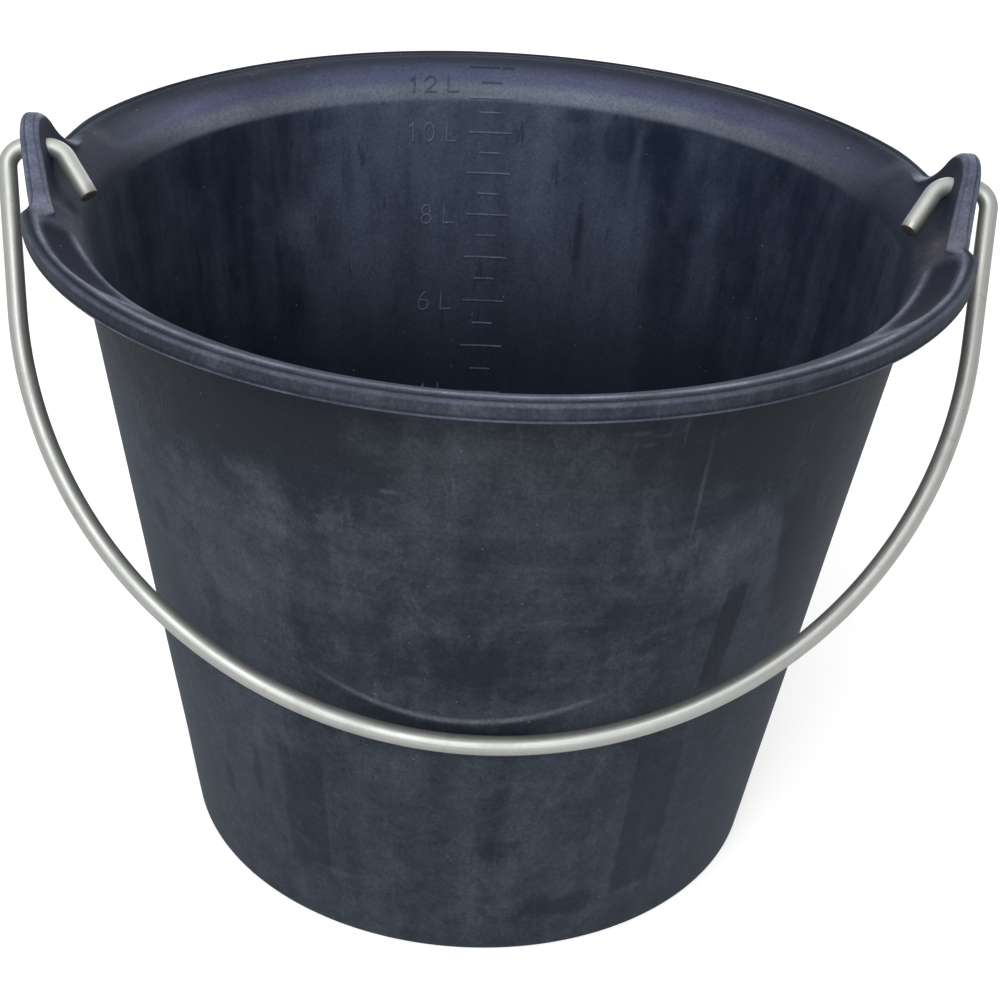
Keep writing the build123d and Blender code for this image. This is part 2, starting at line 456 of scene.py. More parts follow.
def hollow_depth(points):
    """Signed distance to the four tilted rings that dish the flare, less than 0 inside, and the way out of them."""
    across = np.array([hollow_width, 0, hollow_drop])
    normal = np.array([-hollow_drop, 0, hollow_width]) / np.hypot(hollow_width, hollow_drop)
    reach = np.sqrt(hollow_rounding**2 - (across @ across) / 4)
    centre = np.array([rim_radius - hollow_bead, 0, rim_height]) - across / 2 + normal * reach
    tilt = np.array(Matrix.Rotation(hollow_tilt, 3, "Y"))
    nearest = np.full(points.shape[:-1], np.inf)
    way = np.zeros(points.shape)
    for turn in hollow_turns:
        ring_turn = np.array(Matrix.Rotation(turn, 3, "Z"))
        local = (points @ ring_turn - centre) @ tilt + np.array([hollow_ring, 0, 0])
        ring = np.hypot(local[..., 0], local[..., 1])
        share = 1 - hollow_ring / ring
        away = np.stack([local[..., 0] * share, local[..., 1] * share, local[..., 2]], axis=-1)
        distance = np.linalg.norm(away, axis=-1)
        closer = distance - hollow_rounding < nearest
        outward = (away / distance[..., None]) @ tilt.T @ ring_turn.T
        nearest = np.where(closer, distance - hollow_rounding, nearest)
        way = np.where(closer[..., None], outward, way)
    return nearest, way


def wall_dips(angle, height):
    """How far the outer wall dips in: slow waves about the axis and up the wall, none at the foot and the neck.

    The waves added up go from -2 to 2.
    """
    waves = np.sin(3 * angle + height / 41) * np.sin(height / 29 + 2 * np.cos(angle))
    waves = waves + 0.6 * np.sin(7 * angle - height / 53 + 1.3) + 0.4 * np.sin(11 * angle + height / 23)
    ends = smooth_step((height - dips_start) / dips_fade) * smooth_step((wall_end - height) / dips_fade)
    return wall_unevenness * ends * (waves + 2) / 4


def new_piece(name, points, faces):
    """A smooth mesh object from points in millimetres."""
    mesh = bpy.data.meshes.new(name)
    mesh.from_pydata(points * METRE, [], faces, shade_flat=False)
    piece = bpy.data.objects.new(name, mesh)
    bpy.context.scene.collection.objects.link(piece)
    return piece


def store(piece, name, values):
    """Keeps one number for each point of a piece, for its material."""
    attribute = piece.data.attributes.new(name, "FLOAT", "POINT")
    attribute.data.foreach_set("value", np.asarray(values, dtype=np.float32))


def grid_faces(rows, columns):
    """Quads of a grid whose columns close on themselves."""
    row, column = np.meshgrid(np.arange(rows - 1), np.arange(columns), indexing="ij")
    after = (column + 1) % columns
    here, above = row * columns, (row + 1) * columns
    return np.stack([here + column, here + after, above + after, above + column], axis=-1).reshape(-1, 4)


def pole_faces(pole, ring, columns, up):
    """Triangles that close a grid's first or last row to one point."""
    column = np.arange(columns)
    after = (column + 1) % columns
    sides = (column, after) if up else (after, column)
    return np.stack([np.full(columns, pole), ring + sides[0], ring + sides[1]], axis=-1)


def tube_faces(rows, columns, first=0):
    """Faces of a tube with a flat cap on each end, where first is the number of its first point."""
    last = first + (rows - 1) * columns
    caps = [list(range(first, first + columns))[::-1], list(range(last, last + columns))]
    return (grid_faces(rows, columns) + first).tolist() + caps


def make_moulding():
    """The rubber moulding as one closed surface: rows of the section, columns about the axis.

    The outer wall dips in by slow waves. Points of the flare that lie inside the hollows' rings are pushed out to
    them, with the soft corner that the logarithm of a sum of powers gives. The hollows' front edges keep a painted
    highlight and the hollows keep painted shade.
    """
    angle = column_angles()
    rows = [(radius, height, 0.0, 0.0, 0.0) for radius, height in outside_rows()]
    rows += crown_rows(angle)
    rows += [(radius, height, 0.0, 1.0, 0.0) for radius, height in inside_rows()]
    blank = np.zeros(len(angle))
    full = [[value + blank + 0 * row[0] for value in row] for row in rows]
    radius, height, wear_and_highlight, inside, grime_and_shade = [np.concatenate(column) for column in zip(*full)]

    on_outer_wall = (radius > wall_outside(height) - 0.01) * (inside == 0)
    radius = radius - wall_dips(angle, height) * on_outer_wall
    points = np.stack([radius * np.cos(angle), radius * np.sin(angle), height], axis=-1)

    back = np.sin(angle) > 0
    from_foot = np.abs(lug_circle * np.sin(angle)) - lug_foot_inside
    open_flare = smooth_step(from_foot / np.where(back, hollow_back_start, hollow_start))
    open_flare = open_flare * (height > hollow_bottom) * (radius < hollow_outside)
    depth, way = hollow_depth(points)
    softness = np.where(back, hollow_back_softness, hollow_softness)
    push = softness * np.logaddexp(0, -depth / softness) * open_flare
    points += push[..., None] * way
    # Painted highlight along the hollows' front edges, and painted shade down in the hollows
    hollow_edge_light = np.where(back, 0.0, hollow_edge_highlight) * bell(depth, hollow_edge_width)
    wear_and_highlight = np.maximum(wear_and_highlight, hollow_edge_light * open_flare)
    dish_shade = np.where(back, hollow_back_shade, hollow_shade) * smooth_step(-depth / hollow_shade_depth)
    grime_and_shade = np.maximum(grime_and_shade, dish_shade * open_flare)

    count, columns = radius.shape
    poles = [[0, 0, foot_recess], [0, 0, floor_height]]
    first, last = count * columns, count * columns + 1
    faces = grid_faces(count, columns).tolist()
    faces += pole_faces(first, 0, columns, up=False).tolist()
    faces += pole_faces(last, (count - 1) * columns, columns, up=True).tolist()
    moulding = new_piece("moulding", np.concatenate([points.reshape(-1, 3), poles]), faces)
    store(moulding, "wear_and_highlight", np.append(wear_and_highlight.ravel(), [0, 0]))
    store(moulding, "inside", np.append(inside.ravel(), [0, 1]))
    store(moulding, "grime_and_shade", np.append(grime_and_shade.ravel(), [0, 0]))
    return moulding


def cut_bores(moulding):
    """Cuts the hole through both lugs with a long round bar and keeps the hole's edges crisp."""
    turn = ring_turns(48)
    ring = np.stack([0 * turn, bore_radius * np.cos(turn), pivot_height + bore_radius * np.sin(turn)], axis=-1)
    end = np.array([bore_reach, 0, 0])
    bar = new_piece("bore_bar", np.concatenate([ring - end, ring + end]), tube_faces(2, len(turn)))
    cut = moulding.modifiers.new("bores", "BOOLEAN")
    cut.operation = "DIFFERENCE"
    cut.object = bar
    graph = bpy.context.evaluated_depsgraph_get()
    made = bpy.data.meshes.new_from_object(moulding.evaluated_get(graph))
    moulding.modifiers.clear()
    moulding.data = made
    bpy.data.objects.remove(bar)
    made.set_sharp_from_angle(angle=np.radians(50))


def bail_path():
    """Centre line of the bail in its own plane, from hook to hook: straight runs joined by arcs of the bends."""
    right = [arm_corner, hook_corner, hook_end]
    left = [(-across, down) for across, down in reversed(right)]
    corners = np.array(left + [bow_corner] + right)
    bends = [hook_bend, arm_bend, bow_bend, arm_bend, hook_bend]
    points = [corners[:1]]
    for before, corner, after, bend in zip(corners, corners[1:], corners[2:], bends):
        back, ahead = unit(before - corner), unit(after - corner)
        half = np.arccos(back @ ahead) / 2
        centre = corner + unit(back + ahead) * bend / np.sin(half)
        start = corner + back * bend / np.tan(half) - centre
        end = corner + ahead * bend / np.tan(half) - centre
        span = np.pi - 2 * half
        share = steps(141 if bend == bow_bend else 15)
        points.append(centre + (np.sin((1 - share) * span) * start + np.sin(share * span) * end) / np.sin(span))
    points.append(corners[-1:])
    return np.concatenate(points)


def make_wire():
    """The bail: a round section carried along its centre line, with slightly rounded cut ends."""
    path = bail_path()
    along = np.concatenate([[0], np.cumsum(np.linalg.norm(np.diff(path, axis=0), axis=1))])
    even = np.unique(np.concatenate([along, np.arange(0, along[-1], wire_step)]).round(4))
    path = np.stack([np.interp(even, along, path[:, k]) for k in (0, 1)], axis=-1)
    tangent = unit(np.gradient(path, even, axis=0))
    side = np.stack([-tangent[:, 1], tangent[:, 0]], axis=-1)

    rings = len(cut_inset)
    first_end = path[0] + cut_inset[:, None] * tangent[0]
    last_end = path[-1] - cut_inset[::-1, None] * tangent[-1]
    path = np.concatenate([first_end, path[1:-1], last_end])
    side = np.concatenate([side[:1].repeat(rings, 0), side[1:-1], side[-1:].repeat(rings, 0)])
    length = np.concatenate([even[:1].repeat(rings), even[1:-1], even[-1:].repeat(rings)])
    scale = np.concatenate([cut_width, np.ones(len(path) - 2 * rings), cut_width[::-1]]) * wire_radius

    columns = 32
    turn = ring_turns(columns)
    flat = path[:, None, :] + scale[:, None, None] * np.cos(turn)[None, :, None] * side[:, None, :]
    lift = scale[:, None] * np.sin(turn)
    down, out = np.sin(bail_rest), np.cos(bail_rest)
    points = np.stack(
        [flat[..., 0], -flat[..., 1] * out + lift * down, pivot_height - flat[..., 1] * down - lift * out], axis=-1
    )
    wire = new_piece("bail_wire", points.reshape(-1, 3), tube_faces(len(path), columns))

    row, column = np.meshgrid(np.arange(len(path) - 1), np.arange(columns), indexing="ij")
    corner_rows = np.stack([row, row, row + 1, row + 1], axis=-1).ravel()
    corner_columns = np.stack([column, column + 1, column + 1, column], axis=-1).ravel()
    sides = np.stack([corner_columns / columns, length[corner_rows] * METRE], axis=-1)
    caps = np.tile([0.5, 0.0], (2 * columns, 1))
    wire.data.uv_layers.new(name="wire").data.foreach_set("uv", np.concatenate([sides, caps]).ravel())
    from_end = np.minimum(length, length[-1] - length)
    store(wire, "cut_end", np.repeat(np.exp(-from_end / cut_fade), columns))
    return wire


def straight(start, end):
    """A stroke along a straight line."""
    start, end = np.array(start, dtype=float), np.array(end, dtype=float)
    count = int(np.hypot(*(end - start)) / stroke_step) + 2
    return mix(start, end, steps(count))


def ellipse(centre, half, start=0, end=360):
    """A stroke along part of an ellipse, from one angle in degrees to another."""
    turn = np.radians(np.linspace(start, end, 28))
    return np.stack([centre[0] + half[0] * np.cos(turn), centre[1] + half[1] * np.sin(turn)], axis=-1)


numeral_strokes = {
    "0": [ellipse((2.5, 4.0), (2.1, 3.8))],
    "1": [straight((1.5, 6.3), (3.0, 7.8)), straight((3.0, 7.8), (3.0, 0.2))],
    "2": [
        ellipse((2.5, 5.7), (2.1, 2.1), 170, -42),
        straight((4.1, 4.3), (0.4, 0.3)),
        straight((0.4, 0.3), (4.8, 0.3)),
    ],
    "4": [straight((3.6, 0.2), (3.6, 7.8)), straight((3.6, 7.8), (0.4, 2.4)), straight((0.4, 2.4), (4.8, 2.4))],
    "6": [ellipse((2.5, 2.4), (2.1, 2.2)), ellipse((4.4, 2.6), (4.0, 5.2), 102, 180)],
    "8": [ellipse((2.5, 5.9), (1.8, 1.9)), ellipse((2.5, 2.1), (2.1, 1.9))],
    "L": [straight((0.5, 7.8), (0.5, 0.3)), straight((0.5, 0.3), (4.7, 0.3))],
}


def inside_profile():
    """Height, radius and filled litres up the inside, from the floor to the land's inner edge."""
    radius, height = [np.concatenate(column).ravel()[::-1] for column in zip(*inside_rows())]
    upper = np.linspace(flare_root_radius, land_inner_radius, 30)[1:]
    radius = np.concatenate([radius, upper])
    height = np.concatenate([height, flare_height(upper)])
    slices = np.pi * (radius[1:] ** 2 + radius[1:] * radius[:-1] + radius[:-1] ** 2) / 3 * np.diff(height)
    return height, radius, np.concatenate([[0], np.cumsum(slices)]) * LITRE


def scale_strokes():
    """All strokes of the litre scale, as lines across from the middle of the ticks and up from the foot.

    A tick stands where the bucket holds that many litres: long ones at full litres, short ones at halves. The even
    litres have a numeral to the left of the tick.
    """
    height, _, litres = inside_profile()
    strokes = []
    for mark in np.arange(first_mark, last_mark + 0.5, 0.5):
        level = flare_marks.get(mark, np.interp(mark, litres, height))
        half = (long_tick if mark % 1 == 0 else short_tick) / 2
        strokes.append(straight((-half, level), (half, level)))
        if mark % 2 == 0:
            numeral = f"{int(mark)} L"
            width = (len(numeral) - 2) * numeral_pitch + numeral_space + numeral_size[0]
            left = -numeral_end - width
            bottom, upright = level - numeral_size[1] / 2, 1.0
            if mark in flare_marks:
                bottom, upright = flare_numeral_bottom, flare_numeral_height
            for sign in numeral:
                lines = numeral_strokes.get(sign, [])
                strokes += [line * (1.0, upright) + (left, bottom) for line in lines]
                left += numeral_space if sign == " " else numeral_pitch
    return strokes


def make_litre_scale():
    """The raised scale: each stroke is a low rounded ridge with round ends, laid on the inside of the wall. Its crests
    carry wear and a painted highlight, and on the flare it carries painted shade.
    """
    height, radius, _ = inside_profile()
    # A tiny rise keeps the points of the level floor apart
    slope = np.gradient(radius, height + np.arange(len(height)) * 1e-9)
    turn = ring_turns(10)
    ring_across = ridge_half_width * np.cos(turn)
    ring_lift = np.where(np.sin(turn) > 0, ridge_rise, ridge_root) * np.sin(turn)
    rings = len(ridge_ends)
    reach = ridge_ends[:, None] * ridge_half_width
    narrow = np.sqrt(1 - ridge_ends**2)
    points, faces, tops = [], [], []
    count = 0
    for line in scale_strokes():
        tangent = unit(np.gradient(line, axis=0))
        line = np.concatenate([line[0] - reach * tangent[0], line, line[-1] + reach[::-1] * tangent[-1]])
        tangent = np.concatenate([tangent[:1].repeat(rings, 0), tangent, tangent[-1:].repeat(rings, 0)])
        scale = np.concatenate([narrow, np.ones(len(line) - 2 * rings), narrow[::-1]])[:, None]
        across = line[:, :1] - tangent[:, 1:] * ring_across * scale
        level = line[:, 1:] + tangent[:, :1] * ring_across * scale
        lean = np.interp(level, height, slope)
        lift = ring_lift * scale / np.hypot(1, lean)
        wall = np.interp(level, height, radius)
        angle = scale_angle + across / wall
        away = wall - lift
        ridge = np.stack([away * np.sin(angle), away * np.cos(angle), level + lift * lean], axis=-1)
        points.append(ridge.reshape(-1, 3))
        faces += tube_faces(len(line), len(turn), count)
        tops.append((np.clip(np.sin(turn), 0, 1) * scale).ravel())
        count += across.size
    points, tops = np.concatenate(points), np.concatenate(tops)
    on_flare = smooth_step(points[:, 2] - crease_height)
    piece = new_piece("litre_scale", points, faces)
    # Crests lighter by wear and painted highlight, off the flare; painted shade on the flare
    store(piece, "wear_and_highlight", mix(ridge_wear_and_highlight, 0.0, on_flare) * tops)
    store(piece, "grime_and_shade", flare_scale_shade * on_flare)
    store(piece, "inside", np.ones(count))
    return piece


moulding = make_moulding()
cut_bores(moulding)
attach(moulding, "bucket")
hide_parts("bucket_body")

litre_scale = make_litre_scale()
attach(litre_scale, "bucket")

wire = make_wire()
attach(wire, "bail")
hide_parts("wire_bail")


class Nodes:
    """Adds nodes to one tree. Each method gives back the socket that its node puts out."""

    def __init__(self, tree):
        self.tree = tree

    def add(self, kind, inputs=None, output=0, **settings):
        """A node with its settings made, and its inputs set to values or linked to other nodes' sockets."""
        node = self.tree.nodes.new(kind)
        for name, value in settings.items():
            setattr(node, name, value)
        for key, value in (inputs or {}).items():
            if isinstance(value, bpy.types.NodeSocket):
                self.tree.links.new(value, node.inputs[key])
            else:
                node.inputs[key].default_value = value
        return node.outputs[output] if len(node.outputs) else node

    def group(self, tree, inputs):
        """All the named outputs of a node group."""
        return self.add("ShaderNodeGroup", inputs, node_tree=tree).node.outputs

    def stored(self, name):
        """The number that a piece keeps for each point under a name."""
        return self.add("ShaderNodeAttribute", output="Fac", attribute_name=name)

    def math(self, operation, *values):
        return self.add("ShaderNodeMath", dict(enumerate(values)), operation=operation)

    def vary(self, value, amount, base, middle=0.5):
        """The base, and above or below it an amount times how far the value is from its middle."""
        return self.math("MULTIPLY_ADD", self.math("SUBTRACT", value, middle), amount, base)

    def ramp(self, value, low, high, start=0.0, end=1.0):
        """Goes smoothly from start to end as the value goes from low to high."""
        inputs = {"Value": value, "From Min": low, "From Max": high, "To Min": start, "To Max": end}
        return self.add("ShaderNodeMapRange", inputs, interpolation_type="SMOOTHSTEP")

    def between(self, value, low, low_full, high_full, high):
        """1 between the two full values, and 0 below low and above high."""
        return self.math("MULTIPLY", self.ramp(value, low, low_full), self.ramp(value, high_full, high, 1.0, 0.0))

    def stretch(self, vector, factors):
        return self.add("ShaderNodeVectorMath", {0: vector, 1: factors}, operation="MULTIPLY")

    def noise(self, vector, scale, detail=4.0, roughness=0.55, distortion=0.0):
        inputs = {"Vector": vector, "Scale": scale, "Detail": detail, "Roughness": roughness, "Distortion": distortion}
        return self.add("ShaderNodeTexNoise", inputs)

    def tint(self, share, first, second):
        """The first colour where the share is 0, the second one where it is 1."""
        inputs = {"Factor": share, 6: first, 7: second}
        return self.add("ShaderNodeMix", inputs, output=2, data_type="RGBA")


def new_group(name, inputs, outputs):
    """A node group with named sockets, all plain numbers but a vector called Place."""
    tree = bpy.data.node_groups.new(name, "ShaderNodeTree")
    for socket in inputs:
        kind = "NodeSocketVector" if socket == "Place" else "NodeSocketFloat"
        tree.interface.new_socket(socket, in_out="INPUT", socket_type=kind)
    for socket in outputs:
        tree.interface.new_socket(socket, in_out="OUTPUT", socket_type="NodeSocketFloat")
    entry = tree.nodes.new("NodeGroupInput").outputs
    return tree, Nodes(tree), entry


def make_patch_group():
    """A mark on the wall: 1 in its middle, 0 outside, with an edge that the Ripple value makes uneven.

    Square goes from an oval at 0 to a rectangle at 1, and Slant leans the mark, in radians of turn per metre up.
    """
    sizes = ["Turn", "Height", "Middle turn", "Middle height", "Half turn", "Half height", "Edge", "Ripple"]
    tree, nodes, entry = new_group("wall_patch", sizes + ["Square", "Slant"], ["Mask"])
    level = nodes.math("SUBTRACT", entry["Height"], entry["Middle height"])
    turn = nodes.math("SUBTRACT", entry["Turn"], entry["Middle turn"])
    turn = nodes.math("SUBTRACT", turn, nodes.math("MULTIPLY", level, entry["Slant"]))
    turn = nodes.math("ABSOLUTE", nodes.math("DIVIDE", turn, entry["Half turn"]))
    level = nodes.math("ABSOLUTE", nodes.math("DIVIDE", level, entry["Half height"]))
    oval = nodes.math("SQRT", nodes.math("ADD", nodes.math("POWER", turn, 2), nodes.math("POWER", level, 2)))
    square = nodes.math("SUBTRACT", nodes.math("MAXIMUM", turn, level), oval)
    shape = nodes.math("MULTIPLY_ADD", square, entry["Square"], nodes.math("ADD", oval, entry["Ripple"]))
    inner = nodes.math("SUBTRACT", 1.0, entry["Edge"])
    outer = nodes.math("ADD", 1.0, entry["Edge"])
    nodes.add("NodeGroupOutput", {"Mask": nodes.ramp(shape, inner, outer, 1.0, 0.0)})
    return tree


def make_dust_group():
    """Specks, grain and scratches for the rubber and the wire alike; Place is in metres or any stretched copy of it."""
    tree, nodes, entry = new_group("dust_and_scratches", ["Place", "Speck size"], ["Specks", "Grain", "Scratches"])
    place = entry["Place"]
    cells = {"Vector": place, "Scale": 380.0, "Randomness": 1.0}
    near = nodes.add("ShaderNodeTexVoronoi", cells, output="Distance")
    pick = nodes.add("ShaderNodeTexVoronoi", cells, output="Color")
    red = nodes.add("ShaderNodeSeparateColor", {"Color": pick})
    size = nodes.math("MULTIPLY", nodes.ramp(red, 0.9, 1.0), entry["Speck size"])
    specks = nodes.ramp(nodes.math("SUBTRACT", size, near), 0.0, 0.03)
    grain = nodes.noise(place, 900.0, 3.0, 0.7)
    scratches = nodes.ramp(nodes.noise(place, 95.0, 3.0, 0.6, 0.3), 0.64, 0.70)
    nodes.add("NodeGroupOutput", {"Specks": specks, "Grain": grain, "Scratches": scratches})
    return tree


def new_material(name):
    """A material with an empty node tree."""
    material = bpy.data.materials.new(name)
    material.use_nodes = True
    material.node_tree.nodes.clear()
    return material, Nodes(material.node_tree)


patch_group = make_patch_group()
dust_group = make_dust_group()

# Colours of the rubber; those in pairs are bare and chalky
outer_cool = (0.0115, 0.0155, 0.0225, 1), (0.084, 0.101, 0.128, 1)
outer_warm = (0.0145, 0.0165, 0.020, 1), (0.086, 0.095, 0.108, 1)
inner_wall = (0.006, 0.0105, 0.023, 1), (0.072, 0.090, 0.135, 1)
inner_scratch = (0.004, 0.006, 0.011, 1)
inner_painted_shade = (0.0045, 0.0068, 0.0135, 1)
rub_line = (0.15, 0.165, 0.18, 1)
flare_painted_highlight = (0.150, 0.170, 0.210, 1)
flare_painted_sheen = (0.070, 0.078, 0.142, 1)
flare_top_dark_reflection = (0.014, 0.018, 0.034, 1)
flare_front = (0.013, 0.016, 0.027, 1)
back_land_dark_reflection = (0.006, 0.0085, 0.018, 1)
grime_and_shade_tint = (0.009, 0.011, 0.019, 1)
wear_and_highlight_tint = (0.180, 0.192, 0.285, 1)
foot_dust = (0.105, 0.095, 0.092, 1)
fleck = (0.28, 0.29, 0.30, 1)
rubber_sheen = (0.68, 0.74, 1.0, 1)

# Colours of the wire
zinc = (0.29, 0.297, 0.284, 1), (0.36, 0.368, 0.352, 1)
zinc_spangle = (0.41, 0.42, 0.40, 1)
zinc_dull = (0.25, 0.25, 0.24, 1)
zinc_scratch = (0.24, 0.24, 0.235, 1)
wire_speck = (0.19, 0.18, 0.165, 1)
cut_steel = (0.20, 0.18, 0.165, 1)

# Marks on the outer wall: degrees from the front towards +X, height, half sizes, softness of the edge, and how
# much lighter they make the wall
wall_marks = [
    (-6.5, 140, 7.0, 9, 0.6, -0.16),
    (1.9, 136, 7.0, 13, 0.6, -0.18),
    (18.0, 157, 6.5, 14, 0.7, -0.15),
    (-26.0, 165, 3.6, 45, 0.5, -0.13),
    (-27.5, 105, 3.9, 36, 0.5, -0.07),
    (-26.6, 28, 3.5, 1.6, 0.8, 0.16),
    (58.0, 150, 7.0, 26, 0.3, -0.2),
    (36.0, 172, 6.5, 21, 0.3, 0.20),
    (42.0, 138, 3.8, 24, 0.4, 0.16),
    (29.5, 201, 2.2, 2.6, 0.8, 0.20),
    (-33.0, 198, 4.0, 4.5, 0.8, 0.20),
    (-29.8, 190, 2.6, 4.0, 0.8, 0.16),
    (-62.0, 162, 2.4, 8, 0.4, -0.22),
    (-56.0, 158, 1.8, 6, 0.4, -0.22),
    (-47.8, 156, 2.4, 7, 0.5, -0.16),
    (-45.0, 131, 1.8, 14, 0.5, -0.18),
    (-41.0, 63, 1.1, 10, 0.5, -0.25),
    (-50.0, 48, 1.1, 7, 0.5, -0.25),
    (-31.0, 227, 10, 11, 0.7, -0.08),
    (3.0, 53, 4.2, 5, 0.6, -0.26),
    (1.5, 80, 2.2, 22, 0.8, -0.10),
    (-6.5, 84, 1.8, 12, 0.8, -0.10),
    (15.5, 21, 6.5, 4.5, 0.6, -0.22),
    (29.5, 21, 3.8, 1.8, 0.8, 0.20),
    (-48.0, 150, 9.0, 18, 0.8, 0.10),
    (-33.0, 185, 7.0, 18, 0.8, 0.10),
    (31.0, 180, 6.0, 8, 0.9, 0.10),
    (2.0, 120, 26, 5, 0.9, 0.06),
    (-32.0, 214, 17, 24, 0.7, -0.27),
    (36.0, 212, 14, 26, 0.7, -0.18),
    (0.0, 214, 16, 20, 0.8, 0.18),
    (-62.0, 245, 26, 5, 0.4, -0.22),
    (25.5, 204, 0.3, 19, 0.6, 0.30),
    (15.5, 228, 1.8, 0.8, 0.6, 0.22),
    (18.5, 226.5, 1.5, 0.7, 0.6, 0.20),
    (17.0, 223.5, 1.0, 0.7, 0.6, 0.20),
    (21.5, 227, 0.25, 5, 0.6, 0.25),
    (-17.5, 222, 3.5, 9, 0.5, 0.14),
    (-14.5, 226, 2.5, 6, 0.6, -0.10),
    (-14.0, 204, 1.2, 0.8, 0.6, 0.25),
    (-24.0, 208, 1.5, 0.7, 0.6, 0.20),
    (-52.0, 70, 24, 60, 0.9, 0.09),
    (-50.0, 165, 20, 34, 0.9, 0.06),
    (44.0, 60, 20, 55, 0.9, 0.07),
]

# Strips where the wall is darker: the same values, with the slant before the last one
dark_upright_strips = [
    (-31.0, 54, 4.2, 29, 0.10, 0.0, -0.17),
    (29.5, 56, 4.4, 36, 0.08, 0.0, -0.18),
    (36.0, 137, 2.0, 21, 0.15, 0.5, -0.34),
    (48.0, 160, 4.0, 26, 0.12, -1.7, -0.34),
]

# Marks on the inside of the wall, with degrees and values as for the outer wall
inner_marks = [
    (166.0, 230, 3.2, 3, 0.6, -0.15),
    (158.0, 223, 3.0, 9, 0.3, -0.12),
    (150.5, 219, 3.8, 13, 0.3, -0.14),
    (154.6, 217, 0.9, 14, 0.8, 0.14),
    (163.5, 181, 0.7, 12, 0.6, -0.22),
    (153.0, 190, 3.0, 26, 0.8, 0.16),
    (-150.5, 229, 2.6, 4, 0.6, -0.15),
    (-154.5, 193, 3.4, 22, 0.8, 0.14),
    (-150.0, 184, 2.4, 14, 0.5, -0.18),
]


class Spot:
    """Where a point of the rubber is: its place in metres, and its turn about the axis from the front towards +X."""

    def __init__(self, nodes):
        self.place = nodes.add("ShaderNodeTexCoord", output="Object")
        parts = nodes.add("ShaderNodeSeparateXYZ", {"Vector": self.place}).node.outputs
        self.across, self.deep, self.height = parts["X"], parts["Y"], parts["Z"]
        self.turn = nodes.math("ARCTAN2", self.across, nodes.math("MULTIPLY", self.deep, -1.0))


def with_marks(nodes, spot, bloom, fine, ovals, strips=()):
    """The bloom with single marks laid over it, each with an edge that a fine noise makes uneven."""
    ripple = nodes.math("MULTIPLY", nodes.math("SUBTRACT", fine, 0.5), 1.1)
    marks = [(*mark[:5], 0.0, 0.0, mark[5]) for mark in ovals]
    marks += [(*mark[:5], 1.0, *mark[5:]) for mark in strips]
    for middle_turn, level, half_turn, half_height, edge, square, slant, lighter in marks:
        sizes = {
            "Turn": spot.turn,
            "Height": spot.height,
            "Middle turn": np.radians(middle_turn),
            "Middle height": level * METRE,
            "Half turn": np.radians(half_turn),
            "Half height": half_height * METRE,
            "Edge": edge,
            "Ripple": nodes.math("MULTIPLY", ripple, min(1.0, edge * 2)),
            "Square": square,
            "Slant": slant,
        }
        mask = nodes.group(patch_group, sizes)["Mask"]
        bloom = nodes.math("MULTIPLY_ADD", mask, lighter, bloom)
    return bloom


def outer_bloom(nodes, spot, under_rim_warm_shade):
    """How chalky the outer wall is: clouds, level strokes round its middle, drips below, scuffs, single marks, and less
    under the rim as painted shade.
    """
    place, height = spot.place, spot.height
    clouds = nodes.noise(place, 15.0, 10.0, 0.66, 1.0)
    fine = nodes.noise(place, 120.0, 7.0, 0.80)
    strokes = nodes.noise(nodes.stretch(place, (1.0, 1.0, 6.0)), 22.0, 8.0, 0.66, 0.7)
    drips = nodes.noise(nodes.stretch(place, (1.0, 1.0, 0.13)), 60.0, 7.0, 0.66, 0.3)
    scuffs = nodes.ramp(nodes.noise(nodes.stretch(place, (1.0, 1.0, 0.7)), 34.0, 9.0, 0.74, 1.2), 0.54, 0.60)
    round_middle = nodes.between(height, 0.095, 0.135, 0.185, 0.222)
    bloom = nodes.vary(clouds, nodes.ramp(height, 0.06, 0.12, 0.35, 0.62), 0.42)
    bloom = nodes.vary(fine, 0.72, bloom)
    bloom = nodes.vary(strokes, nodes.math("MULTIPLY_ADD", round_middle, 0.35, 0.1), bloom, middle=0.49)
    bloom = nodes.vary(drips, 0.5, bloom)
    bloom = nodes.math("MULTIPLY_ADD", scuffs, 0.1, bloom)
    # Painted shade under the rim
    bloom = nodes.math("MULTIPLY_ADD", under_rim_warm_shade, -0.12, bloom)
    return with_marks(nodes, spot, bloom, fine, wall_marks, dark_upright_strips)


def rub_line_and_wire_shade(nodes, spot):
    """The line that the bail has rubbed above its place of rest, and the dark strip between it and the wire, which is
    painted shade of the wire.

    The line's height is lowest a little left of the front and rises with the square of the turn from there.
    """
    from_middle = nodes.math("ADD", spot.turn, np.radians(4.0))
    sag = nodes.math("MULTIPLY_ADD", nodes.math("POWER", from_middle, 2), 0.0745, 0.1138)
    above = nodes.math("SUBTRACT", spot.height, sag)
    extent = nodes.ramp(nodes.math("ABSOLUTE", from_middle), np.radians(8), np.radians(26), 1.0, 0.0)
    line = nodes.ramp(nodes.math("ABSOLUTE", above), 0.0002, 0.0017, 1.0, 0.0)
    broken = nodes.ramp(nodes.noise(spot.place, 48.0, 6.0, 0.7), 0.32, 0.66, 0.25, 1.0)
    line = nodes.math("MULTIPLY", line, broken)
    wire_shade = nodes.between(above, -0.012, -0.006, -0.003, -0.0008)
    return nodes.math("MULTIPLY", line, extent), nodes.math("MULTIPLY", wire_shade, extent)


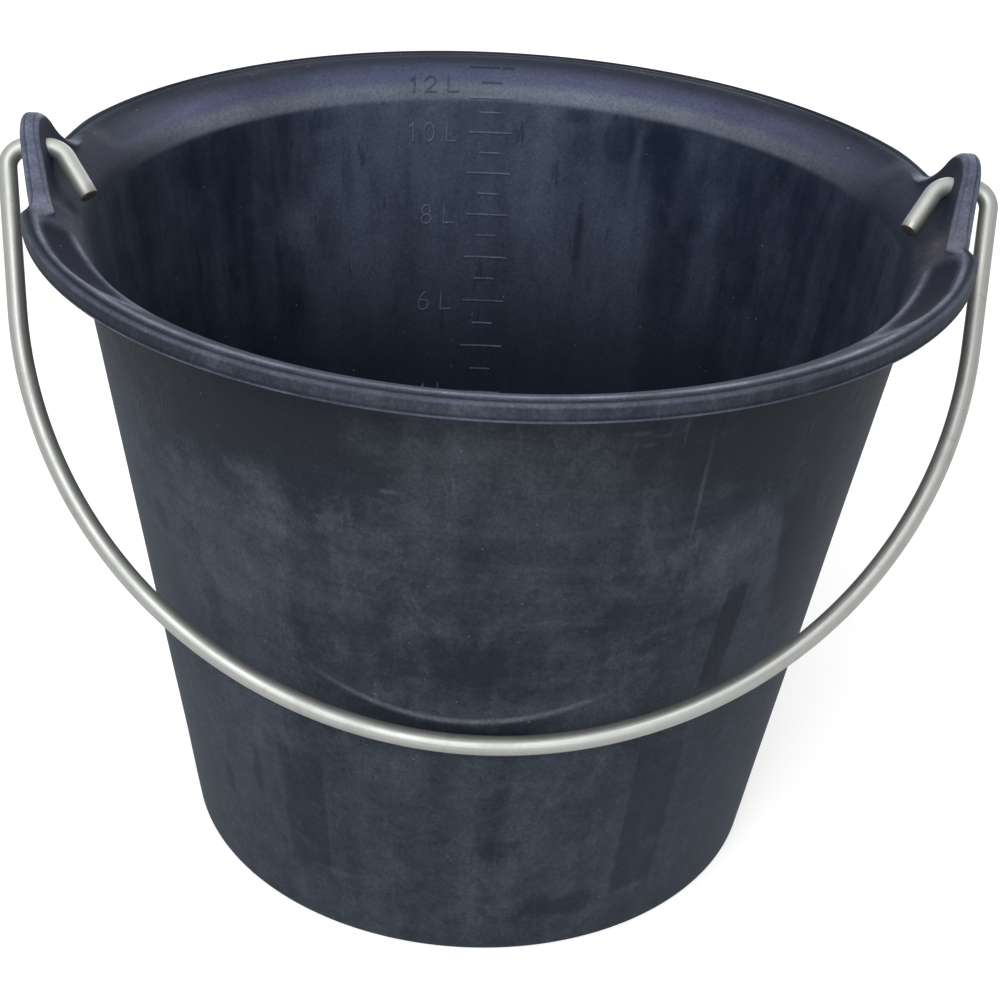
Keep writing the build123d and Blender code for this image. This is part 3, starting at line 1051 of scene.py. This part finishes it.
def outer_rubber(nodes, spot, drags):
    """Colour of the outer wall, a little warmer under the rim, where painted shade also darkens it, and how chalky it
    is.
    """
    under_rim_warm_shade = nodes.between(spot.height, 0.190, 0.215, 0.232, 0.246)
    bloom = outer_bloom(nodes, spot, under_rim_warm_shade)
    line, wire_shade = rub_line_and_wire_shade(nodes, spot)
    # Painted shade of the wire between it and the rub line
    bloom = nodes.math("MULTIPLY_ADD", wire_shade, -0.22, bloom)
    bloom = nodes.math("MULTIPLY_ADD", drags, 0.1, bloom)
    chalky = nodes.ramp(bloom, 0.08, 1.0)
    cool = nodes.tint(chalky, *outer_cool)
    warm = nodes.tint(chalky, *outer_warm)
    colour = nodes.tint(nodes.math("MULTIPLY", under_rim_warm_shade, 0.5), cool, warm)
    return nodes.tint(line, colour, rub_line), bloom


def inner_bloom(nodes, spot):
    """How chalky the inside is: upright streaks, a lighter upright band at the back with uneven edges, less towards the
    floor as painted shade, and marks.
    """
    place = spot.place
    clouds = nodes.noise(place, 11.0, 6.0, 0.6, 0.5)
    fine = nodes.noise(place, 70.0, 4.0, 0.65)
    streaks = nodes.noise(nodes.stretch(place, (1.0, 1.0, 0.09)), 62.0, 5.0, 0.62, 0.2)
    wander = nodes.noise(nodes.stretch(place, (0.4, 0.4, 1.0)), 22.0, 4.0, 0.6)
    band = nodes.between(nodes.vary(wander, 0.06, spot.across), -0.082, -0.060, 0.046, 0.074)
    band = nodes.math("MULTIPLY", band, nodes.ramp(spot.deep, 0.02, 0.07))
    bloom = nodes.vary(clouds, 0.75, 0.24)
    bloom = nodes.vary(streaks, 0.85, bloom)
    bloom = nodes.vary(fine, 0.35, bloom)
    bloom = nodes.math("MULTIPLY_ADD", band, 0.26, bloom)
    # Painted shade: less chalk towards the floor
    bloom = nodes.math("ADD", bloom, nodes.ramp(spot.height, 0.07, 0.16, -0.12, 0.0))
    return with_marks(nodes, spot, bloom, fine, inner_marks)


def inner_rubber(nodes, spot, drags):
    """Colour of the inside, darker along scratches and with painted shade towards the floor, and how chalky it is."""
    bloom = inner_bloom(nodes, spot)
    colour = nodes.tint(nodes.ramp(bloom, -0.05, 0.9), *inner_wall)
    colour = nodes.tint(nodes.math("MULTIPLY", drags, 0.4), colour, inner_scratch)
    # Painted shade darkens the inside towards the floor
    return nodes.tint(nodes.ramp(spot.height, 0.11, 0.215, 0.92, 0.0), colour, inner_painted_shade), bloom


def over_flare(nodes, spot, colour, flare, back):
    """A colour with the patchy flare laid over it, painted at the back with a highlight low down, a sheen above it and
    a dark reflection at its top, and with the land at the back painted dark as a reflection.
    """
    patchy = nodes.ramp(nodes.noise(spot.place, 18.0, 5.0, 0.6, 0.5), 0.25, 0.8, 0.5, 1.0)
    # Painted highlight, painted sheen and painted dark reflection on the flare at the back
    painted_flare_light = nodes.tint(nodes.ramp(spot.height, 0.2375, 0.2420), flare_painted_highlight, flare_painted_sheen)
    painted_flare_light = nodes.tint(nodes.ramp(spot.height, 0.2420, 0.2465), painted_flare_light, flare_top_dark_reflection)
    painted_flare_light = nodes.tint(back, flare_front, painted_flare_light)
    colour = nodes.tint(nodes.math("MULTIPLY", flare, patchy), colour, painted_flare_light)
    dark_land_share = nodes.math("MULTIPLY", nodes.ramp(spot.height, 0.2450, 0.2472, 0.0, 0.9), back)
    return nodes.tint(dark_land_share, colour, back_land_dark_reflection)


def over_dust(nodes, spot, colour, grime_and_shade, dust):
    """A colour with dust at the lugs' front feet, light flecks, mostly along the band, and fine grain over it."""
    corner = nodes.add("ShaderNodeCombineXYZ", {0: nodes.math("ABSOLUTE", spot.across), 1: spot.deep, 2: spot.height})
    from_foot = {0: corner, 1: (0.148, -0.030, 0.245)}
    from_foot = nodes.add("ShaderNodeVectorMath", from_foot, output="Value", operation="DISTANCE")
    dusty = nodes.ramp(nodes.noise(spot.place, 70.0, 5.0, 0.65), 0.40, 0.66, 0.0, 0.5)
    dusty = nodes.math("MULTIPLY", nodes.ramp(from_foot, 0.004, 0.020, 1.0, 0.0), dusty)
    dusty = nodes.math("MULTIPLY", dusty, nodes.math("SUBTRACT", 1.0, grime_and_shade))
    colour = nodes.tint(dusty, colour, foot_dust)
    from_band = nodes.math("ABSOLUTE", nodes.math("SUBTRACT", spot.height, 0.2428))
    specks = nodes.math("MULTIPLY", dust["Specks"], nodes.ramp(from_band, 0.001, 0.003, 0.8, 0.25))
    colour = nodes.tint(specks, colour, fleck)
    grain = nodes.ramp(dust["Grain"], 0.25, 0.75, 0.74, 1.26)
    return nodes.add("ShaderNodeVectorMath", {0: colour, "Scale": grain}, operation="SCALE")


def make_rubber():
    """Black rubber with a chalky bloom, rubbed lighter and painted with highlights along its edges, with painted light
    and shade on the flare, painted shade in its gutter, hollows and depth, and scratches and dust.
    """
    material, nodes = new_material("rubber")
    spot = Spot(nodes)
    wear_and_highlight, inside, grime_and_shade = nodes.stored("wear_and_highlight"), nodes.stored("inside"), nodes.stored("grime_and_shade")
    dust = nodes.group(dust_group, {"Place": spot.place, "Speck size": 0.16})
    upright = nodes.stretch(spot.place, (2.0, 2.0, 0.16))
    drags = nodes.group(dust_group, {"Place": upright, "Speck size": 0.0})["Scratches"]

    outer, outer_chalk = outer_rubber(nodes, spot, drags)
    inner, inner_chalk = inner_rubber(nodes, spot, drags)
    colour = nodes.tint(inside, outer, inner)
    flare = nodes.math("MULTIPLY", nodes.ramp(spot.height, 0.2325, 0.2350), inside)
    back = nodes.ramp(spot.deep, 0.025, 0.10)
    colour = over_flare(nodes, spot, colour, flare, back)
    # Grime, and painted shade in the gutter, the hollows and the scale on the flare, darken the colour
    colour = nodes.tint(nodes.math("MULTIPLY", grime_and_shade, 0.92), colour, grime_and_shade_tint)
    # Edges are made lighter, partly by wear and partly by painted highlight
    uneven = nodes.ramp(nodes.noise(spot.place, 55.0, 5.0, 0.65), 0.25, 0.75, 0.25, 1.0)
    rubbed_and_highlit = nodes.math("MULTIPLY", wear_and_highlight, uneven)
    colour = nodes.tint(rubbed_and_highlit, colour, wear_and_highlight_tint)
    colour = over_dust(nodes, spot, colour, grime_and_shade, dust)

    rough = nodes.ramp(nodes.tint(inside, outer_chalk, inner_chalk), 0.1, 0.9, 0.68, 0.86)
    shiny = nodes.math("MAXIMUM", rubbed_and_highlit, nodes.math("MULTIPLY", flare, back))
    rough = nodes.math("MULTIPLY_ADD", shiny, -0.32, rough)
    rough = nodes.math("MULTIPLY_ADD", grime_and_shade, 0.3, rough)
    relief = nodes.math("MULTIPLY_ADD", dust["Grain"], 0.35, nodes.noise(spot.place, 120.0, 4.0, 0.6))
    relief = nodes.math("MULTIPLY_ADD", drags, -0.5, relief)
    bump = nodes.add("ShaderNodeBump", {"Height": relief, "Strength": 0.35, "Distance": 0.0006})
    sheen = {"Specular IOR Level": 0.18, "Specular Tint": rubber_sheen}
    surface = nodes.add("ShaderNodeBsdfPrincipled", {"Base Color": colour, "Roughness": rough, "Normal": bump} | sheen)
    nodes.add("ShaderNodeOutputMaterial", {"Surface": surface})
    return material


def make_galvanised():
    """Zinc on drawn wire: faint lines along it, a soft spangle, dull spots, and darker steel at the cut ends."""
    material, nodes = new_material("galvanised")
    place = nodes.add("ShaderNodeTexCoord", output="Object")
    lay = nodes.add("ShaderNodeUVMap", uv_map="wire")
    lines = nodes.noise(nodes.stretch(lay, (22.0, 9.0, 1.0)), 1.0, 4.0, 0.6)
    spangle = nodes.add("ShaderNodeTexVoronoi", {"Vector": place, "Scale": 260.0}, output="Color")
    spangle = nodes.add("ShaderNodeSeparateColor", {"Color": spangle})
    dull = nodes.noise(place, 42.0, 5.0, 0.6, 0.4)
    dust = nodes.group(dust_group, {"Place": place, "Speck size": 0.22})
    colour = nodes.tint(nodes.ramp(lines, 0.3, 0.7), *zinc)
    colour = nodes.tint(nodes.math("MULTIPLY", spangle, 0.18), colour, zinc_spangle)
    colour = nodes.tint(nodes.ramp(dull, 0.56, 0.78, 0.0, 0.5), colour, zinc_dull)
    colour = nodes.tint(nodes.math("MULTIPLY", dust["Scratches"], 0.4), colour, zinc_scratch)
    colour = nodes.tint(nodes.math("MULTIPLY", dust["Specks"], 0.35), colour, wire_speck)
    colour = nodes.tint(nodes.math("MULTIPLY", nodes.stored("cut_end"), 0.6), colour, cut_steel)
    rough = nodes.ramp(dull, 0.3, 0.75, 0.42, 0.56)
    relief = nodes.math("MULTIPLY_ADD", dust["Grain"], 0.3, lines)
    bump = nodes.add("ShaderNodeBump", {"Height": relief, "Strength": 0.25, "Distance": 0.0003})
    surface = nodes.add(
        "ShaderNodeBsdfPrincipled", {"Base Color": colour, "Roughness": rough, "Normal": bump, "Metallic": 0.75}
    )
    nodes.add("ShaderNodeOutputMaterial", {"Surface": surface})
    return material


rubber = make_rubber()
moulding.data.materials.append(rubber)
litre_scale.data.materials.append(rubber)
wire.data.materials.append(make_galvanised())


def seen_directly(nodes):
    """1 for the camera's rays and for what metal or glass reflects, 0 for the light that falls on the object."""
    rays = nodes.add("ShaderNodeLightPath").node.outputs
    mirrored = nodes.math("MAXIMUM", rays["Is Glossy Ray"], rays["Is Transmission Ray"])
    return nodes.math("MAXIMUM", rays["Is Camera Ray"], mirrored)


def make_floor():
    """A wide sheet of paper that looks white, keeps the bucket's shadow and throws little light back up."""
    half = 6000
    corners = half * np.array([[-1, -1, 0], [1, -1, 0], [1, 1, 0], [-1, 1, 0]])
    floor = new_piece("floor", corners, [(0, 1, 2, 3)])
    material, nodes = new_material("paper")
    shown = seen_directly(nodes)
    place = nodes.add("ShaderNodeTexCoord", output="Object")
    away = nodes.add("ShaderNodeVectorMath", {0: place}, output="Value", operation="LENGTH")
    glow = nodes.math("MULTIPLY", shown, nodes.ramp(away, 0.5, 2.5, 0.62, 1.0))
    grey = nodes.math("MULTIPLY_ADD", shown, 0.22, 0.38)
    grey = nodes.vary(nodes.noise(place, 400.0, 4.0), 0.02, grey)
    grey = nodes.add("ShaderNodeCombineColor", {0: grey, 1: grey, 2: grey})
    paper = nodes.add("ShaderNodeBsdfDiffuse", {"Color": grey})
    both = nodes.add("ShaderNodeAddShader", {0: paper, 1: nodes.add("ShaderNodeEmission", {"Strength": glow})})
    nodes.add("ShaderNodeOutputMaterial", {"Surface": both})
    floor.data.materials.append(material)
    return floor


make_floor()

world = bpy.data.worlds.new("studio")
bpy.context.scene.world = world
world.use_nodes = True
nodes = Nodes(world.node_tree)
strength = nodes.math("MULTIPLY_ADD", seen_directly(nodes), 0.75, 0.25)
world.node_tree.links.new(strength, world.node_tree.nodes["Background"].inputs["Strength"])
world.node_tree.nodes["Background"].inputs["Color"].default_value = (1, 1, 1, 1)


def place_in_scene(name, data, matrix):
    """Puts a lamp or the camera into the scene."""
    holder = bpy.data.objects.new(name, data)
    bpy.context.scene.collection.objects.link(holder)
    holder.matrix_world = matrix
    return holder


# Square soft lamps, turned towards the bucket: name, place in metres, side and power
lamp_aim = Vector((0, 0, 0.2))
lamps = [
    ("front_high", Vector((-0.45, -1.5, 1.65)), 0.9, 26),
    ("front_low", Vector((-0.2, -2.1, 0.8)), 1.4, 14),
    ("overhead", Vector((-0.2, 0.0, 2.0)), 1.6, 12),
    ("rear", Vector((0.7, 2.0, 1.1)), 1.4, 14),
]
for name, place, side, power in lamps:
    lamp = bpy.data.lights.new(name, "AREA")
    lamp.size = side
    lamp.energy = power
    turn = (lamp_aim - place).to_track_quat("-Z", "Y").to_matrix().to_4x4()
    place_in_scene(name, lamp, Matrix.Translation(place) @ turn)

camera = bpy.data.cameras.new("camera")
camera.lens = 68.9706
camera.sensor_width = 36
camera_place = (-0.024167, -0.629079, 0.485772)
heading, tilt, roll = np.radians([-2.7045, 90 - 29.8566, 3.4184])
turn = Matrix.Rotation(heading, 4, "Z") @ Matrix.Rotation(tilt, 4, "X") @ Matrix.Rotation(roll, 4, "Z")
bpy.context.scene.camera = place_in_scene("camera", camera, Matrix.Translation(camera_place) @ turn)
bpy.context.scene.view_settings.view_transform = "Standard"
